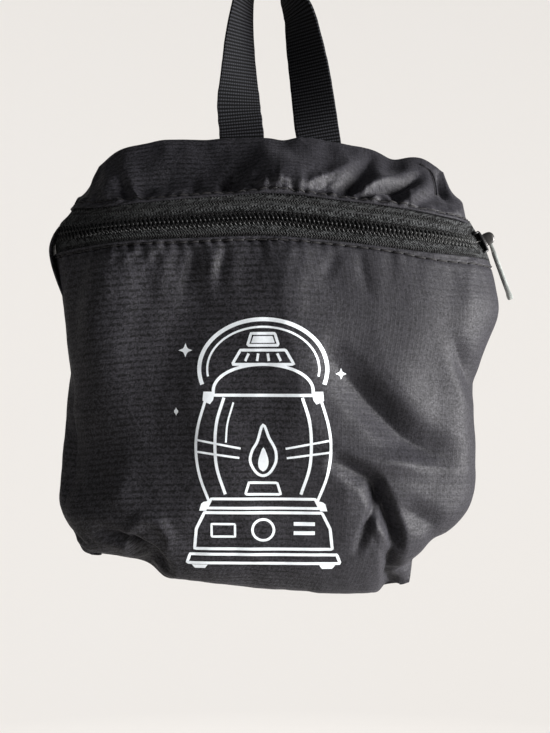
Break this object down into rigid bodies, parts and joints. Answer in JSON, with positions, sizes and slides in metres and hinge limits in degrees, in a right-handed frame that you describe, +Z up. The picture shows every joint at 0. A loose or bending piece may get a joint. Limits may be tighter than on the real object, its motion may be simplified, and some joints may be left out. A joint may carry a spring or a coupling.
{
  "type": "packed backpack pouch",
  "caption": "Backpack folded into its own soft zipped pocket, with a webbing hang loop, a coil zipper curving across the front and a swinging zipper pull.",
  "frame": {"origin": "underside of the webbing loop's top, at the middle of its width, where it bears on a hook", "axes": "+X to the right seen from the front, towards the zipper pull; +Y from the front to the back; +Z up"},
  "size_m": [0.2051, 0.0537, 0.2747],
  "materials": {
    "ripstop": "thin black nylon ripstop with a soft sheen",
    "zipper_tape": "woven black polyester tape",
    "zipper_coil": "black nylon coil, slightly glossy",
    "webbing": "ribbed black nylon webbing",
    "packed_cloth": "folded black nylon",
    "slider_metal": "dark gunmetal, glossy",
    "pull_metal": "satin grey metal"
  },
  "bodies": {
    "pouch": {"front_panel": "ripstop", "top_panel": "ripstop", "back_panel": "ripstop", "zipper_tape_upper": "zipper_tape", "zipper_tape_lower": "zipper_tape", "zipper_coil_upper": "zipper_coil", "zipper_coil_lower": "zipper_coil", "hang_loop": "webbing", "packed_bundle": "packed_cloth", "slider": "slider_metal"},
    "pull": {"pull_tab": "pull_metal"}
  },
  "joints": [
    {"name": "pull_hinge", "type": "hinge", "parent": "pouch", "child": "pull", "pos_m": [0.09959, -0.0035, -0.11424], "axis": [0, -1, 0], "range_deg": [0, 185]}
  ]
}
